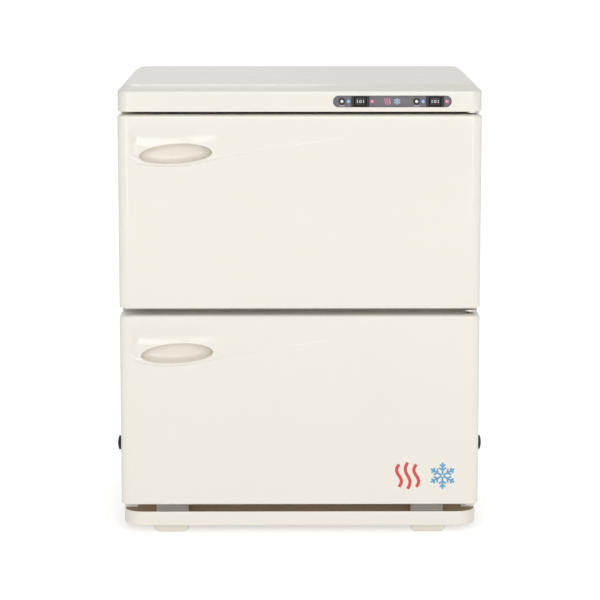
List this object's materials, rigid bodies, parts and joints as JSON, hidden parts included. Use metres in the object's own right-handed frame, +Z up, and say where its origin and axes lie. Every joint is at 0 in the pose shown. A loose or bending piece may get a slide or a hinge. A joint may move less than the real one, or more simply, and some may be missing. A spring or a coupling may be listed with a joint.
{
  "type": "hot and cold towel cabinet",
  "caption": "Countertop hot and cold towel cabinet with stacked swing doors, oval grip pockets, a front drip tray and a control strip in the top cover.",
  "frame": {"origin": "on the ground, below the middle of the bounding box", "axes": "+Z up, the doors face -Y, the hinges are on the +X side"},
  "size_m": [0.4654, 0.39, 0.57],
  "materials": {
    "cream_gloss": "gloss",
    "cream_plastic": "satin",
    "cream_paint": "satin",
    "brown_paint": "matte",
    "liner_metal": "satin",
    "bright_metal": "satin",
    "sink_metal": "matte",
    "white_foam": "matte",
    "grey_seal": "matte",
    "panel_grey": "satin",
    "black_plastic": "satin",
    "black_rubber": "matte",
    "button_white": "satin",
    "lamp_blue": "gloss",
    "lamp_red": "gloss",
    "module_white": "matte",
    "heater_orange": "matte",
    "board_green": "matte"
  },
  "bodies": {
    "cabinet": {"base_pan": "brown_paint", "bottom_hinge": "bright_metal", "centre_hinge": "bright_metal", "control_board": "board_green", "control_panel": "panel_grey", "cord_gland": "black_rubber", "cover_floor": "cream_plastic", "front_frame": "cream_plastic", "insulation_block": "white_foam", "left_blue_lamp": "lamp_blue", "left_front_leg": "cream_plastic", "left_rear_leg": "cream_plastic", "left_red_lamp": "lamp_red", "left_reset_bush": "black_plastic", "left_side_bumper": "black_rubber", "left_side_panel": "cream_paint", "left_switch_housing": "black_plastic", "lower_cold_block": "sink_metal", "lower_fan_frame": "black_plastic", "lower_heat_sink": "sink_metal", "lower_heater": "heater_orange", "lower_liner": "liner_metal", "lower_peltier": "module_white", "lower_rack": "bright_metal", "power_supply": "sink_metal", "rear_panel": "cream_paint", "right_blue_lamp": "lamp_blue", "right_front_leg": "cream_plastic", "right_rear_leg": "cream_plastic", "right_red_lamp": "lamp_red", "right_reset_bush": "black_plastic", "right_side_bumper": "black_rubber", "right_side_panel": "cream_paint", "right_switch_housing": "black_plastic", "top_cover": "cream_gloss", "top_hinge": "bright_metal", "upper_cold_block": "sink_metal", "upper_fan_frame": "black_plastic", "upper_heat_sink": "sink_metal", "upper_heater": "heater_orange", "upper_liner": "liner_metal", "upper_peltier": "module_white", "upper_rack": "bright_metal"},
    "upper_door": {"upper_door_skin": "cream_gloss", "upper_door_inner_panel": "cream_plastic", "upper_door_foam": "white_foam", "upper_door_seal": "grey_seal", "upper_grip_cup": "cream_gloss"},
    "upper_fan": {"upper_fan_rotor": "black_plastic"},
    "lower_door": {"lower_door_skin": "cream_gloss", "lower_door_inner_panel": "cream_plastic", "lower_door_foam": "white_foam", "lower_door_seal": "grey_seal", "lower_grip_cup": "cream_gloss"},
    "lower_fan": {"lower_fan_rotor": "black_plastic"},
    "left_rocker": {"left_rocker": "black_plastic"},
    "left_reset": {"left_reset_button": "button_white"},
    "right_rocker": {"right_rocker": "black_plastic"},
    "right_reset": {"right_reset_button": "button_white"},
    "tray": {"drip_tray": "cream_gloss"}
  },
  "joints": [
    {"name": "upper_door_hinge", "type": "hinge", "parent": "cabinet", "child": "upper_door", "pos_m": [0.214, -0.175, 0.413], "axis": [0, 0, 1], "range_deg": [0, 110]},
    {"name": "upper_fan_spin", "type": "hinge", "parent": "cabinet", "child": "upper_fan", "pos_m": [0, 0.1693, 0.413], "axis": [0, 1, 0], "continuous": true},
    {"name": "lower_door_hinge", "type": "hinge", "parent": "cabinet", "child": "lower_door", "pos_m": [0.214, -0.175, 0.1625], "axis": [0, 0, 1], "range_deg": [0, 110]},
    {"name": "lower_fan_spin", "type": "hinge", "parent": "cabinet", "child": "lower_fan", "pos_m": [0, 0.1693, 0.1625], "axis": [0, 1, 0], "continuous": true},
    {"name": "left_rocker_tip", "type": "hinge", "parent": "cabinet", "child": "left_rocker", "pos_m": [0.0747, -0.1892, 0.5508], "axis": [0, 0, 1], "range_deg": [-9, 9]},
    {"name": "left_reset_press", "type": "slide", "parent": "cabinet", "child": "left_reset", "axis": [0, 1, 0], "range_m": [0, 0.0012], "stiffness_N_per_m": 200},
    {"name": "right_rocker_tip", "type": "hinge", "parent": "cabinet", "child": "right_rocker", "pos_m": [0.1689, -0.1892, 0.5508], "axis": [0, 0, 1], "range_deg": [-9, 9]},
    {"name": "right_reset_press", "type": "slide", "parent": "cabinet", "child": "right_reset", "axis": [0, 1, 0], "range_m": [0, 0.0012], "stiffness_N_per_m": 200},
    {"name": "tray_slide", "type": "slide", "parent": "cabinet", "child": "tray", "axis": [0, -1, 0], "range_m": [0, 0.06]}
  ]
}
